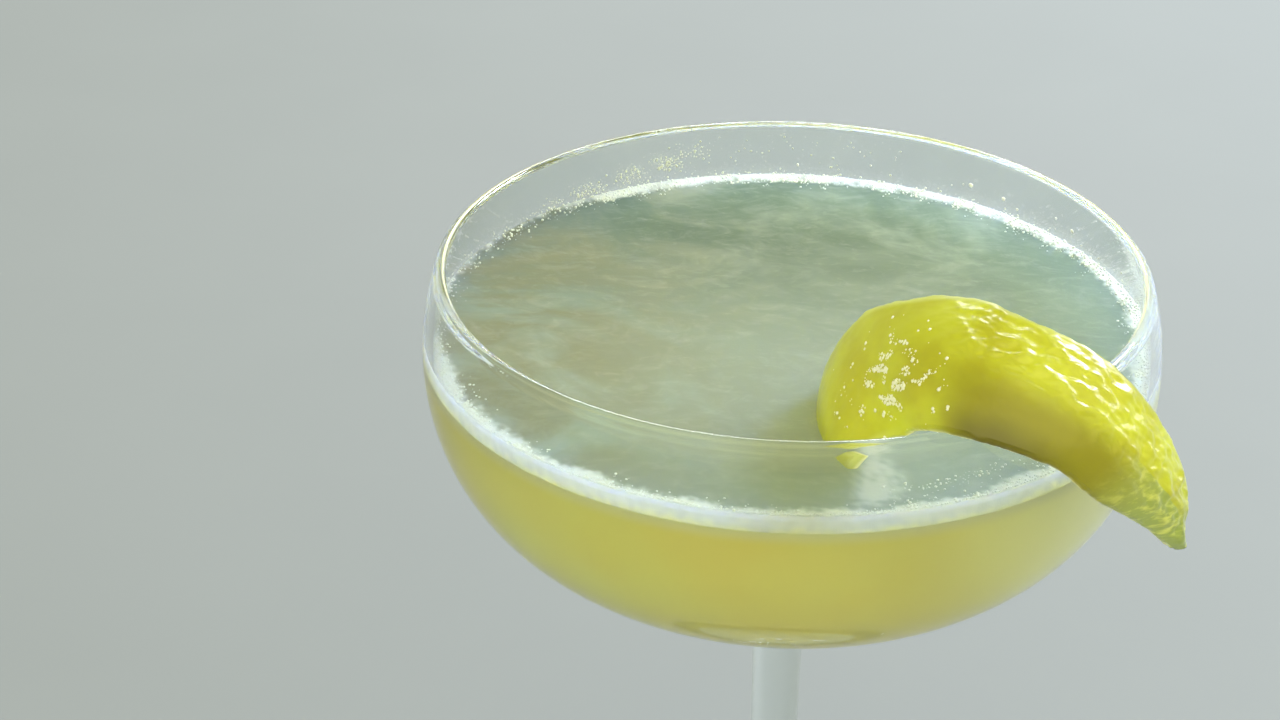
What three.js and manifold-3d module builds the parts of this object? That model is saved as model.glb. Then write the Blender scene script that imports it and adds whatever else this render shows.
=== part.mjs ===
// A lemon and honey cocktail in a stemmed coupe glass, with a strip of lemon peel over the rim.
// Lengths are millimetres and +Z is up. The origin is the middle of the foot's underside.

import * as THREE from "three";
import { mergeVertices } from "three/addons/utils/BufferGeometryUtils.js";
import Module from "manifold-3d";

const wasm = await Module();
wasm.setup();

// The coupe's bowl. Depths are measured down from the rim.
const GLASS_HEIGHT = 138;
const RIM_RADIUS = 45;
const BOWL_RADIUS = 47.03;
const WIDEST_DEPTH = 11.6;
const BOWL_DEPTH = 40.85;
const BOWL_SIDE_EXPONENT = 3.3;
const WALL = 1.25;
const BOWL_FLOOR = 2.6;

// The stem and the foot. A flare adds its spread to the stem's radius where it starts, and fades with
// distance from there, by its length.
const STEM_RADIUS = 3.2;
const FOOT_FLARES = [{ spread: 53, length: 1.9 }, { spread: 11.6, length: 6.5 }];
const BOWL_FLARES = [{ spread: 1.3, length: 9 }, { spread: 2.6, length: 0.7 }];
const FOOT_RADIUS = 35;
const FOOT_EDGE = 1.6;
const FOOT_RING_INSIDE = 25;
const FOOT_PUNT = 0.9;
const FOOT_PUNT_RADIUS = 15;

// The drink and its foam
const FOAM_DEPTH = 9.3;
const FOAM_THICKNESS = 1.85;
const FOAM_MENISCUS = 0.5;
const FOAM_MENISCUS_WIDTH = 2.5;
const TOUCH_GAP = 0.3;

// The strip of peel. Each station across it gives its far edge and its near edge as x, y and the
// height above the rim, from the end in the drink to the end that hangs outside the glass.
const PEEL_THICKNESS = 2.2;
const PEEL_EDGE_SHARE = 0.45;
const PEEL_CROWN = 2.2;
const PEEL_END_CROWN = 0.75;
const PEEL_STATIONS = [
  { far: [5, -14, -17], near: [6.5, -34.5, -17] },
  { far: [4, -16.5, -8], near: [7, -34.5, -10] },
  { far: [5.5, -18, -2], near: [10, -34.5, -6] },
  { far: [9, -20, 4], near: [13, -37.5, -2.5] },
  { far: [14, -24, 8], near: [15.5, -41.5, 0.7] },
  { far: [20.5, -28, 10.5], near: [19, -44.5, 2] },
  { far: [27.5, -34.5, 11], near: [23.5, -46.3, 1.7] },
  { far: [36, -37, 7.5], near: [30, -46.4, -0.7] },
  { far: [42, -36.5, 0.5], near: [35, -45, -5.5] },
  { far: [46.3, -35, -9], near: [41.5, -40, -12] },
  { far: [46.4, -35.5, -16], near: [45.5, -36.5, -17] },
];

// How finely the curves are cut into facets
const LATHE_SEGMENTS = 60;
const BOWL_STEPS = 13;
const UPPER_WALL_STEPS = 4;
const STEM_STEPS = 8;
const STEM_FIRST_STEP = 0.5;
const PEEL_STEPS = 36;
const PEEL_SIDES = 8;
const RIM_LIP_STEPS = 3;
const RIGHT_ANGLE = Math.PI / 2;

/** Radius of a bowl surface at a depth, for the surface's widest radius and its lowest depth. */
function bowlRadius(depth, widest, lowest) {
  if (depth <= WIDEST_DEPTH) {
    const share = (WIDEST_DEPTH - depth) / WIDEST_DEPTH;
    return widest - (BOWL_RADIUS - RIM_RADIUS) * share * share;
  }
  const share = Math.min(1, (depth - WIDEST_DEPTH) / (lowest - WIDEST_DEPTH));
  return widest * Math.pow(1 - share * share, 1 / BOWL_SIDE_EXPONENT);
}

/** Inside radius of the bowl at a depth. */
function insideRadius(depth) {
  return bowlRadius(depth, BOWL_RADIUS - WALL, BOWL_DEPTH - BOWL_FLOOR);
}

/** Depths from the top one down to the bowl's lowest one, closer together where the side turns under. */
function bowlDepths(top, lowest) {
  const depths = [];
  for (let i = 0; i < UPPER_WALL_STEPS && top < WIDEST_DEPTH; i += 1) {
    depths.push(top + ((WIDEST_DEPTH - top) * i) / UPPER_WALL_STEPS);
  }
  for (let i = 0; i < BOWL_STEPS; i += 1) {
    depths.push(WIDEST_DEPTH + (lowest - WIDEST_DEPTH) * Math.sin((RIGHT_ANGLE * i) / BOWL_STEPS));
  }
  return depths;
}

/** A closed body turned about the vertical axis, from outline points of radius and height. */
function turned(outline) {
  const geometry = new THREE.LatheGeometry(outline, LATHE_SEGMENTS);
  geometry.rotateX(RIGHT_ANGLE);
  return closedBody(geometry);
}

/** Joins the shared corners, drops the flat triangles at the poles and turns the faces outwards. */
function closedBody(geometry) {
  const bare = new THREE.BufferGeometry();
  bare.setAttribute("position", geometry.getAttribute("position"));
  bare.setIndex(geometry.getIndex());
  const merged = mergeVertices(bare, 1e-4);
  const corners = merged.getIndex().array;
  const kept = [];
  for (let i = 0; i < corners.length; i += 3) {
    const [a, b, c] = [corners[i], corners[i + 1], corners[i + 2]];
    if (a !== b && b !== c && c !== a) {
      kept.push(a, b, c);
    }
  }
  merged.setIndex(signedVolume(merged, kept) < 0 ? kept.reverse() : kept);
  return merged;
}

/** Volume that a list of triangles encloses, negative where they face inwards. */
function signedVolume(geometry, corners) {
  const position = geometry.getAttribute("position");
  const [a, b, c] = [new THREE.Vector3(), new THREE.Vector3(), new THREE.Vector3()];
  let sum = 0;
  for (let i = 0; i < corners.length; i += 3) {
    a.fromBufferAttribute(position, corners[i]);
    b.fromBufferAttribute(position, corners[i + 1]);
    c.fromBufferAttribute(position, corners[i + 2]);
    sum += a.dot(b.cross(c)) / 6;
  }
  return sum;
}

/** A closed geometry as a solid that can be cut. */
function toSolid(geometry) {
  return new wasm.Manifold(new wasm.Mesh({
    numProp: 3,
    vertProperties: new Float32Array(geometry.getAttribute("position").array),
    triVerts: new Uint32Array(geometry.getIndex().array),
  }));
}

/** What is left of a geometry when other geometries are cut out of it. */
function cutOut(geometry, ...tools) {
  let solid = toSolid(geometry);
  for (const tool of tools) {
    solid = solid.subtract(toSolid(tool));
  }
  const mesh = solid.getMesh();
  const cut = new THREE.BufferGeometry();
  cut.setAttribute("position", new THREE.BufferAttribute(new Float32Array(mesh.vertProperties), 3));
  cut.setIndex([...mesh.triVerts]);
  return cut;
}

/** Bowl, stem and foot of the coupe, which are one piece of glass. */
function coupeGlass() {
  const outline = [...footUnderside(), ...stemSide()];
  const outer = bowlDepths(0, BOWL_DEPTH).slice(1).reverse();
  for (const depth of outer.filter((d) => bowlRadius(d, BOWL_RADIUS, BOWL_DEPTH) > STEM_RADIUS * 3)) {
    outline.push(new THREE.Vector2(bowlRadius(depth, BOWL_RADIUS, BOWL_DEPTH), GLASS_HEIGHT - depth));
  }
  outline.push(...rimLip());
  for (const depth of bowlDepths(WALL / 2, BOWL_DEPTH - BOWL_FLOOR)) {
    outline.push(new THREE.Vector2(insideRadius(depth), GLASS_HEIGHT - depth));
  }
  outline.push(new THREE.Vector2(0, GLASS_HEIGHT - BOWL_DEPTH + BOWL_FLOOR));
  return turned(outline);
}

/** The foot from the middle of its underside, over the flat ring it stands on, to its upper edge. */
function footUnderside() {
  return [
    new THREE.Vector2(0, FOOT_PUNT),
    new THREE.Vector2(FOOT_PUNT_RADIUS, FOOT_PUNT),
    new THREE.Vector2(FOOT_RING_INSIDE, 0),
    new THREE.Vector2(FOOT_RADIUS - FOOT_EDGE / 2, 0),
    new THREE.Vector2(FOOT_RADIUS, FOOT_EDGE / 2),
  ];
}

/** Radius that a row of flares adds at a distance from where they start. */
function flared(flares, distance) {
  return flares.reduce((sum, flare) => sum + flare.spread * Math.exp(-distance / flare.length), 0);
}

/** The foot's upper side and the stem, one sweep that ends under the bowl. */
function stemSide() {
  const top = GLASS_HEIGHT - BOWL_DEPTH;
  const middle = (top + FOOT_EDGE) / 2;
  const heights = [];
  for (let i = 0; i <= STEM_STEPS; i += 1) {
    heights.push(FOOT_EDGE * Math.pow(middle / FOOT_EDGE, i / STEM_STEPS));
  }
  for (let i = STEM_STEPS - 1; i > 0; i -= 1) {
    heights.push(top - STEM_FIRST_STEP * Math.pow((top - middle) / STEM_FIRST_STEP, i / STEM_STEPS));
  }
  heights.push(top);
  return heights.map((height) => {
    const radius = STEM_RADIUS + flared(FOOT_FLARES, height) + flared(BOWL_FLARES, top - height);
    return new THREE.Vector2(Math.min(radius, FOOT_RADIUS - FOOT_EDGE / 4), height);
  });
}

/** The rounded lip, from its outer side over the top to its inner side. */
function rimLip() {
  const points = [];
  for (let i = 0; i < RIM_LIP_STEPS; i += 1) {
    const turn = (Math.PI * (i + 0.5)) / RIM_LIP_STEPS;
    const radius = RIM_RADIUS - WALL / 2 + (WALL / 2) * Math.cos(turn);
    points.push(new THREE.Vector2(radius, GLASS_HEIGHT - WALL / 2 + (WALL / 2) * Math.sin(turn)));
  }
  return points;
}

/** The liquid under the foam, which fills the bowl but for the gap to the glass. */
function drinkBody() {
  const top = FOAM_DEPTH + FOAM_THICKNESS + TOUCH_GAP;
  const lowest = BOWL_DEPTH - BOWL_FLOOR - TOUCH_GAP;
  const outline = [new THREE.Vector2(0, GLASS_HEIGHT - top)];
  for (const depth of [top, ...bowlDepths(WIDEST_DEPTH, lowest)]) {
    const radius = Math.min(insideRadius(depth), bowlRadius(depth, BOWL_RADIUS - WALL, lowest));
    outline.push(new THREE.Vector2(radius - TOUCH_GAP, GLASS_HEIGHT - depth));
  }
  outline.push(new THREE.Vector2(0, GLASS_HEIGHT - lowest));
  return turned(outline);
}

/** The foam, a layer that climbs the glass a little at its edge. */
function foamBody() {
  const bottom = FOAM_DEPTH + FOAM_THICKNESS;
  const climb = FOAM_DEPTH - FOAM_MENISCUS;
  return turned([
    new THREE.Vector2(0, GLASS_HEIGHT - bottom),
    new THREE.Vector2(insideRadius(bottom) - TOUCH_GAP, GLASS_HEIGHT - bottom),
    new THREE.Vector2(insideRadius(climb) - TOUCH_GAP, GLASS_HEIGHT - climb),
    new THREE.Vector2(insideRadius(FOAM_DEPTH) - FOAM_MENISCUS_WIDTH, GLASS_HEIGHT - FOAM_DEPTH),
    new THREE.Vector2(0, GLASS_HEIGHT - FOAM_DEPTH),
  ]);
}

/** One edge of the peel as a smooth curve through its stations. */
function peelEdge(side) {
  const points = PEEL_STATIONS.map((station) => {
    const [x, y, heightOverRim] = station[side];
    return new THREE.Vector3(x, y, GLASS_HEIGHT + heightOverRim);
  });
  return new THREE.CatmullRomCurve3(points, false, "centripetal");
}

/** Point on a curve at an even share of its stations. */
function alongStations(curve, share) {
  return curve.getPoint(THREE.MathUtils.clamp(share, 0, 1));
}

/** The peel as a closed body: an arched strip, rounded across, grown on all sides by a margin. */
function peelBody(margin) {
  const far = peelEdge("far");
  const near = peelEdge("near");
  const rings = [];
  for (let i = 0; i <= PEEL_STEPS; i += 1) {
    rings.push(peelRing(far, near, i / PEEL_STEPS, margin));
  }
  const perRing = rings[0].length;
  const corners = [];
  for (let i = 0; i < PEEL_STEPS; i += 1) {
    for (let j = 0; j < perRing; j += 1) {
      const next = (j + 1) % perRing;
      const [a, b] = [i * perRing + j, i * perRing + next];
      corners.push(a, b, b + perRing, a, b + perRing, a + perRing);
    }
  }
  for (let j = 1; j < perRing - 1; j += 1) {
    const last = PEEL_STEPS * perRing;
    corners.push(0, j + 1, j, last, last + j, last + j + 1);
  }
  const geometry = new THREE.BufferGeometry();
  geometry.setFromPoints(rings.flat());
  geometry.setIndex(corners);
  return closedBody(geometry);
}

/** The outline of one cross-section: over the zest side and back along the pith side. */
function peelRing(far, near, share, margin) {
  const step = 0.5 / PEEL_STEPS;
  const outer = alongStations(far, share);
  const inner = alongStations(near, share);
  const middle = outer.clone().add(inner).multiplyScalar(0.5);
  const ahead = alongStations(far, share + step).add(alongStations(near, share + step));
  const behind = alongStations(far, share - step).add(alongStations(near, share - step));
  const along = ahead.sub(behind).normalize();
  const across = outer.clone().sub(inner);
  const width = across.length();
  across.normalize();
  const zest = along.clone().cross(across).normalize();
  const crown = PEEL_CROWN - PEEL_END_CROWN * Math.abs(2 * share - 1) ** 3;
  const endShift = margin * (Number(share === 1) - Number(share === 0));
  const points = [];
  for (const face of ["zest", "pith"]) {
    for (let j = 0; j <= PEEL_SIDES; j += 1) {
      const place = (face === "zest" ? 1 : -1) * (-1 + (2 * j) / PEEL_SIDES);
      const depth = PEEL_THICKNESS * (PEEL_EDGE_SHARE + (1 - PEEL_EDGE_SHARE) * Math.sqrt(1 - place ** 4));
      const rise = crown * (1 - place * place) + (face === "zest" ? margin : -depth - margin);
      points.push(middle.clone()
        .addScaledVector(across, place * (width / 2 + margin))
        .addScaledVector(zest, rise)
        .addScaledVector(along, endShift));
    }
  }
  return points;
}

/** A ring round the rim and upper wall, a little larger than the glass there. */
function rimClearance() {
  const outside = [];
  const inside = [];
  for (let i = 0; i <= UPPER_WALL_STEPS; i += 1) {
    const depth = (WIDEST_DEPTH * 2 * i) / UPPER_WALL_STEPS;
    const top = i === 0 ? TOUCH_GAP : 0;
    const outer = bowlRadius(depth, BOWL_RADIUS, BOWL_DEPTH) + TOUCH_GAP;
    outside.push(new THREE.Vector2(outer, GLASS_HEIGHT - depth + top));
    inside.push(new THREE.Vector2(insideRadius(depth) - TOUCH_GAP, GLASS_HEIGHT - depth + top));
  }
  return turned([...outside, ...inside.reverse(), outside[0]]);
}

/** A named piece with its own surface. */
function piece(name, geometry, color, roughness) {
  const material = new THREE.MeshStandardMaterial({ color, roughness, metalness: 0 });
  const mesh = new THREE.Mesh(geometry, material);
  mesh.name = name;
  return mesh;
}

const peelHole = peelBody(TOUCH_GAP);
const cocktail = new THREE.Group();
cocktail.add(piece("coupe_glass", coupeGlass(), 0xdfe8e4, 0.05));
cocktail.add(piece("cocktail_drink", cutOut(drinkBody(), peelHole), 0xc3c067, 0.2));
cocktail.add(piece("foam_cap", cutOut(foamBody(), peelHole), 0xb4bfa6, 0.6));
cocktail.add(piece("lemon_peel_twist", cutOut(peelBody(0), rimClearance()), 0xcdc832, 0.4));

export default cocktail;
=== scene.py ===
"""Dresses a lemon and honey cocktail: coupe glass, cloudy drink, foam, lemon peel, bubbles and drops."""

import logging
import math
from dataclasses import dataclass, field
from enum import Enum
from typing import Callable

import bmesh
import bpy
import numpy as np
from mathutils import Euler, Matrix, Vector, noise


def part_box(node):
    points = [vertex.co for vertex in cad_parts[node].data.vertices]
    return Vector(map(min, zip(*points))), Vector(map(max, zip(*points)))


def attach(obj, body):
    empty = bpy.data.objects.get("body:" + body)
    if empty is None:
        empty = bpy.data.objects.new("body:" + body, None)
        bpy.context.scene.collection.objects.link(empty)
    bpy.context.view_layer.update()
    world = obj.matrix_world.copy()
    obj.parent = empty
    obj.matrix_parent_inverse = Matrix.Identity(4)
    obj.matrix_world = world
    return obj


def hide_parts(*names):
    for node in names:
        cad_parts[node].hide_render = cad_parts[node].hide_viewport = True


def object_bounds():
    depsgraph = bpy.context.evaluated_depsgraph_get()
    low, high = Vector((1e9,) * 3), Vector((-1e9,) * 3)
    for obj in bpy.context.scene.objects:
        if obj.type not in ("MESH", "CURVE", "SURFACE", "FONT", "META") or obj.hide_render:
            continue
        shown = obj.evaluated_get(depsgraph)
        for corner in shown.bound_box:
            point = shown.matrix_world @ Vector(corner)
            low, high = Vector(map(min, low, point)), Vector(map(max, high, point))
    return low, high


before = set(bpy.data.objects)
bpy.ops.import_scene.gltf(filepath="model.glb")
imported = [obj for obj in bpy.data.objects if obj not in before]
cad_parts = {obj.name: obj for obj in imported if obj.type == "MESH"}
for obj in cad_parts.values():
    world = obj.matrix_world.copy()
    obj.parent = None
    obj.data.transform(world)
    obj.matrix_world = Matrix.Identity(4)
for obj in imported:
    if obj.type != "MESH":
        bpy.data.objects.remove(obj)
CAD_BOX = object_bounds()

MM = 0.001
BODY = "root"
LOG = logging.getLogger("cocktail")

Array = np.ndarray
Piece = bpy.types.Object
Finish = bpy.types.Material
Tree = bpy.types.NodeTree
Socket = bpy.types.NodeSocket
Outline = list[tuple[float, float]]

# Factors that turn a cell's column and row into an even draw that is the same each run.
DRAW_COLUMN, DRAW_ROW, DRAW_KIND, DRAW_SPREAD = 12.9898, 78.233, 37.7, 43758.5453


class Slot(Enum):
    """The record's material slots."""

    GLASS = "clear_glass"
    DRINK = "drink"
    FOAM = "foam"
    ZEST = "lemon_zest"


class Join(Enum):
    """How numbers become one share."""

    PRODUCT = "MULTIPLY"
    SUM = "ADD"


def linear(hex_colour: str) -> tuple[float, float, float, float]:
    """Turns an sRGB colour into the linear one that a shader takes.

    Args:
        hex_colour: The colour as six hexadecimal digits.

    Returns:
        Red, green, blue and an alpha of 1.
    """
    channels = [int(hex_colour[i:i + 2], 16) / 255 for i in (0, 2, 4)]
    return (*(c / 12.92 if c <= 0.04045 else ((c + 0.055) / 1.055) ** 2.4 for c in channels), 1.0)


def add(tree: Tree, kind: str, inputs: dict | None = None, **settings) -> bpy.types.Node:
    """Adds one node with its settings, values and links.

    Args:
        tree: The node tree that gets the node.
        kind: The node's type name.
        inputs: Input name or number to a value, or to the output socket that is linked to it.
        settings: Properties of the node itself.

    Returns:
        The new node.
    """
    node = tree.nodes.new(kind)
    for name, value in settings.items():
        setattr(node, name, value)
    for key, value in (inputs or {}).items():
        named = [s for s in node.inputs if s.name == key and s.enabled]
        socket = node.inputs[key] if isinstance(key, int) else named[0]
        if isinstance(value, Socket):
            tree.links.new(value, socket)
        else:
            socket.default_value = value
    return node


def joined(tree: Tree, numbers: tuple, strength: float = 1.0, how: Join = Join.PRODUCT) -> Socket:
    """Joins numbers into one share.

    Args:
        tree: The node tree.
        numbers: Each a socket, or a socket with the value where it starts to rise smoothly from 0 and
            the one where it reaches 1.
        strength: What the result is multiplied by.
        how: The way of joining.

    Returns:
        The socket of the share.
    """
    result = None
    for number in numbers:
        if isinstance(number, tuple):
            inputs = dict(zip(("Value", "From Min", "From Max"), number))
            number = add(tree, "ShaderNodeMapRange", inputs, interpolation_type="SMOOTHSTEP").outputs["Result"]
        if result is not None:
            number = add(tree, "ShaderNodeMath", {0: result, 1: number}, operation=how.value).outputs[0]
        result = number
    return add(tree, "ShaderNodeMath", {0: result, 1: strength}, operation="MULTIPLY").outputs[0]


def layered(tree: Tree, base: str | Socket, *layers: tuple) -> Socket:
    """Lays colours over a base colour, one after the other.

    Args:
        tree: The node tree.
        base: The colour under all others.
        layers: Each a colour and the socket of the share by which it covers what is under it.

    Returns:
        The socket of the finished colour.
    """
    below = linear(base) if isinstance(base, str) else base
    for over, share in layers:
        over = linear(over) if isinstance(over, str) else over
        both = {"Factor": share, "A": below, "B": over}
        below = add(tree, "ShaderNodeMix", both, data_type="RGBA").outputs[2]
    return below


def grain(tree: Tree, size_mm: float, detail: float = 3.0, roughness: float = 0.5,
          stretch: tuple[float, float, float] = (1.0, 1.0, 1.0), turn: float = 0.0,
          distortion: float = 0.0) -> Socket:
    """A soft random pattern that is fixed to the piece.

    Args:
        tree: The node tree.
        size_mm: Rough size of one patch of the pattern in millimetres.
        detail: How many finer layers it has.
        roughness: How strong the finer layers are.
        stretch: How many times longer the patches are along each axis.
        turn: Angle about the vertical by which the stretch is turned.
        distortion: How far the pattern is swirled.

    Returns:
        The socket of the pattern, from 0 to 1.
    """
    place = add(tree, "ShaderNodeTexCoord").outputs["Object"]
    scale = tuple(1.0 / s for s in stretch)
    moved = add(tree, "ShaderNodeMapping", {"Vector": place, "Scale": scale, "Rotation": (0.0, 0.0, turn)})
    inputs = {"Vector": moved.outputs["Vector"], "Scale": 1.0 / (size_mm * MM), "Detail": detail,
              "Roughness": roughness, "Distortion": distortion}
    return add(tree, "ShaderNodeTexNoise", inputs).outputs["Fac"]


def new_finish(name: str, inputs: dict) -> tuple[Finish, Tree, bpy.types.Node]:
    """Starts a material from one Principled shader.

    Args:
        name: The material's name.
        inputs: The shader's own values.

    Returns:
        The material, its node tree and the shader.
    """
    material = bpy.data.materials.new(name)
    material.use_nodes = True
    tree = material.node_tree
    tree.nodes.clear()
    shader = add(tree, "ShaderNodeBsdfPrincipled", inputs, subsurface_method="BURLEY")
    add(tree, "ShaderNodeOutputMaterial", {"Surface": shader.outputs["BSDF"]})
    return material, tree, shader


@dataclass(frozen=True)
class SodaLimeGlass:
    """Soda-lime glass, blown and fire polished: colourless, very smooth, with clean bright edges."""

    tint: str = "F6FAF7"
    ior: float = 1.5

    def material(self) -> Finish:
        """Makes the glass, which lets lamps through, so what lies behind it is lit as in real glass."""
        colour = linear(self.tint)
        values = {"Base Color": colour, "Transmission Weight": 1.0, "Roughness": 0.0, "IOR": self.ior}
        material, tree, shader = new_finish("soda-lime glass, fire polished", values)
        lamp_ray = add(tree, "ShaderNodeLightPath").outputs["Is Shadow Ray"]
        clear = add(tree, "ShaderNodeBsdfTransparent", {"Color": colour}).outputs["BSDF"]
        both = add(tree, "ShaderNodeMixShader", {0: lamp_ray, 1: shader.outputs["BSDF"], 2: clear})
        tree.links.new(both.outputs["Shader"], tree.nodes["Material Output"].inputs["Surface"])
        return material


@dataclass(frozen=True)
class BubbleFilm:
    """Skin of small foam bubbles: whitish and wet. They are too small for their walls to show."""

    name: str = "foam bubbles"
    colour: str = "D8DCD2"

    def material(self) -> Finish:
        """Makes the bubbles."""
        return new_finish(self.name, {"Base Color": linear(self.colour), "Roughness": 0.4, "IOR": 1.34})[0]


@dataclass(frozen=True)
class CloudyLemonDrink:
    """Gin with lemon juice and honey: cloudy and pale yellow, and light spreads far in it. It is more golden
    in random clouds and in the middle, where the golden is painted shade for the peel's shadow falling
    through it, paler low down, and paler at the right, where that is painted light on the side that
    faces the lamps."""

    body: str = "E4E38A"
    golden: str = "E4D676"
    bright: str = "F4F3B4"
    pale: str = "E2E398"
    top: str = "DDDEB4"
    scatter_mm: float = 150.0
    cloud_mm: float = 22.0
    # Painted shade: the golden in the middle stands for the peel's shadow falling through the drink.
    shadow_middle: float = 4 * MM
    shadow_reach: tuple[float, float] = (30 * MM, 6 * MM)
    # Painted light: the bright colour on the right, the side that faces the lamps.
    lit_side_reach: tuple[float, float] = (8 * MM, 40 * MM)
    foam_blend: tuple[float, float] = (-2.0 * MM, 0.5 * MM)

    def material(self, top_z: float, depth: float) -> Finish:
        """Makes the drink.

        Args:
            top_z: Height of its upper side, where it turns paler under the foam.
            depth: How deep it is.

        Returns:
            The material.
        """
        values = {"Roughness": 0.3, "IOR": 1.34, "Specular IOR Level": 0.0, "Subsurface Weight": 0.8,
                  "Subsurface Radius": (1.0, 0.9, 0.35), "Subsurface Scale": self.scatter_mm * MM}
        material, tree, shader = new_finish("cloudy lemon and honey drink", values)
        place = add(tree, "ShaderNodeTexCoord").outputs["Object"]
        x, _, z = add(tree, "ShaderNodeSeparateXYZ", {"Vector": place}).outputs
        middle = add(tree, "ShaderNodeMath", {0: x, 1: self.shadow_middle}, operation="SUBTRACT").outputs[0]
        from_shadow_middle = add(tree, "ShaderNodeMath", {0: middle}, operation="ABSOLUTE").outputs[0]
        clouds = (grain(tree, self.cloud_mm, 2.0), 0.34, 0.66)
        colour = layered(
            tree, self.body,
            # Golden: random clouds, and painted shade in the middle. Bright: painted light at the right.
            (self.golden, joined(tree, ((from_shadow_middle, *self.shadow_reach), clouds), 0.45, Join.SUM)),
            (self.bright, joined(tree, ((x, *self.lit_side_reach),), 0.85)),
            (self.pale, joined(tree, ((z, top_z - 0.72 * depth, top_z - depth),))),
            (self.top, joined(tree, ((z, *(top_z + edge for edge in self.foam_blend)),))))
        tree.links.new(colour, shader.inputs["Base Color"])
        return material


@dataclass(frozen=True)
class WetFoam:
    """Fine wet foam of shaken lemon juice: thin, satin, grey green where the drink shows through it. Red
    and green light spread far in it and in the drink under it, and blue doesn't, so a shadow on it is warm.
    Painted shade darkens it at the back and at the right."""

    veil: str = "8F9A8B"
    honey: str = "807F63"
    # Painted shade: a darker grey green for the back and the right of the foam.
    painted_shade: str = "616E5E"
    froth: str = "D3D6C6"
    drink: str = "DDDEB4"
    scatter_mm: float = 45.0
    drift_mm: float = 19.0
    wisp_mm: float = 5.0
    fine_mm: float = 1.3
    bubble_mm: float = 0.35
    bubble_depth: float = 0.04 * MM
    honey_reach: tuple[float, float] = (10 * MM, -42 * MM)
    shade_back: tuple[float, float] = (-15 * MM, 32 * MM)
    shade_right: tuple[float, float] = (18 * MM, 46 * MM)

    def material(self) -> Finish:
        """Makes the foam. The mesh says by its froth number where bubbles stand thick and white, and by
        its sink number where it thins out into the drink.

        Returns:
            The material.
        """
        values = {"IOR": 1.34, "Subsurface Weight": 1.0, "Subsurface Radius": (1.0, 0.8, 0.2),
                  "Subsurface Scale": self.scatter_mm * MM, "Specular IOR Level": 0.04}
        material, tree, shader = new_finish("wet cocktail foam", values)
        place = add(tree, "ShaderNodeTexCoord").outputs["Object"]
        x, y, _ = add(tree, "ShaderNodeSeparateXYZ", {"Vector": place}).outputs
        froth, sink = (add(tree, "ShaderNodeAttribute", attribute_name=name).outputs["Fac"]
                       for name in ("froth", "sink"))
        drift = grain(tree, self.drift_mm, 4.0, 0.55, (1.25, 1.0, 1.0), 0.3, 1.2)
        wisps = (grain(tree, self.wisp_mm, 6.0, 0.65, (1.7, 1.0, 1.0), 0.12, 1.6), 0.44, 0.80)
        fine = (grain(tree, self.fine_mm, 3.0, 0.6, (1.8, 1.0, 1.0), 0.06, 0.8), 0.48, 0.90)
        colour = layered(
            tree, self.veil,
            (self.honey, joined(tree, ((x, *self.honey_reach), (drift, 0.30, 0.62)))),
            # Painted shade at the back, in patches, and evenly at the right.
            (self.painted_shade, joined(tree, ((y, *self.shade_back), (drift, 0.80, 0.36)))),
            (self.painted_shade, joined(tree, ((x, *self.shade_right),), 0.8)),
            (self.froth, joined(tree, (wisps, fine), 0.11, Join.SUM)),
            (self.froth, froth), (self.drink, sink))
        tree.links.new(colour, shader.inputs["Base Color"])
        tree.links.new(joined(tree, ((froth, -1.8, 1.0),)), shader.inputs["Roughness"])
        bubbles = grain(tree, self.bubble_mm, 2.0, 0.6)
        relief = {"Height": bubbles, "Distance": self.bubble_depth, "Strength": 0.5}
        tree.links.new(add(tree, "ShaderNodeBump", relief).outputs["Normal"], shader.inputs["Normal"])
        return material


@dataclass(frozen=True)
class LemonRind:
    """Fresh lemon rind, cut with a knife: waxy pitted zest outside, pale soft pith inside, both wet, so a
    clear coat shines over a surface in which light spreads."""

    zest: str = "B1B433"
    deep: str = "A6A42A"
    # Painted shade for the valley, where the strip turns away from the lamps.
    shaded_valley: str = "85800F"
    # Painted shade for the lower edge of the middle, the darkest part of the strip.
    shade_olive: str = "625C08"
    green: str = "8E9A58"
    cut: str = "C0C472"
    pith: str = "E2E0B0"
    scatter_mm: float = 14.0
    patch_mm: float = 8.0
    fibre_mm: float = 1.0
    pore_mm: float = 0.25
    pore_depth: float = 0.02 * MM

    def material(self) -> Finish:
        """Makes the rind. The mesh says which side a point is on, how far it is along the strip, and where
        painted shade lies in the valley and along the lower edge.

        Returns:
            The material.
        """
        values = {"IOR": 1.45, "Specular IOR Level": 0.08, "Subsurface Weight": 0.8,
                  "Subsurface Radius": (1.0, 0.9, 0.12), "Subsurface Scale": self.scatter_mm * MM,
                  "Coat Weight": 1.0, "Coat Roughness": 0.33, "Coat IOR": 1.5}
        material, tree, shader = new_finish("fresh lemon rind", values)
        mark = {name: add(tree, "ShaderNodeAttribute", attribute_name=name).outputs["Fac"]
                for name in ("pit", "shaded_valley", "shade_olive", "tip", "cut", "pith")}
        fibres = joined(tree, ((grain(tree, self.fibre_mm, 3.0, 0.6, (4.0, 1.0, 1.0), -0.7), 0.45, 0.7),))
        colour = layered(
            tree, self.zest,
            (self.deep, joined(tree, ((grain(tree, self.patch_mm), 0.40, 0.64),))),
            (self.deep, joined(tree, ((mark["pit"], 0.1, 1.8),))),
            # Painted shade in the valley and along the lower edge.
            (self.shaded_valley, mark["shaded_valley"]), (self.shade_olive, mark["shade_olive"]),
            (layered(tree, self.green, (self.cut, fibres)), mark["tip"]),
            (self.cut, mark["cut"]), (self.pith, mark["pith"]))
        tree.links.new(colour, shader.inputs["Base Color"])
        tree.links.new(joined(tree, ((mark["pith"], -0.7, 1.4),)), shader.inputs["Roughness"])
        relief = {"Height": grain(tree, self.pore_mm, 2.0), "Distance": self.pore_depth, "Strength": 0.6}
        tree.links.new(add(tree, "ShaderNodeBump", relief).outputs["Normal"], shader.inputs["Normal"])
        return material


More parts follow.
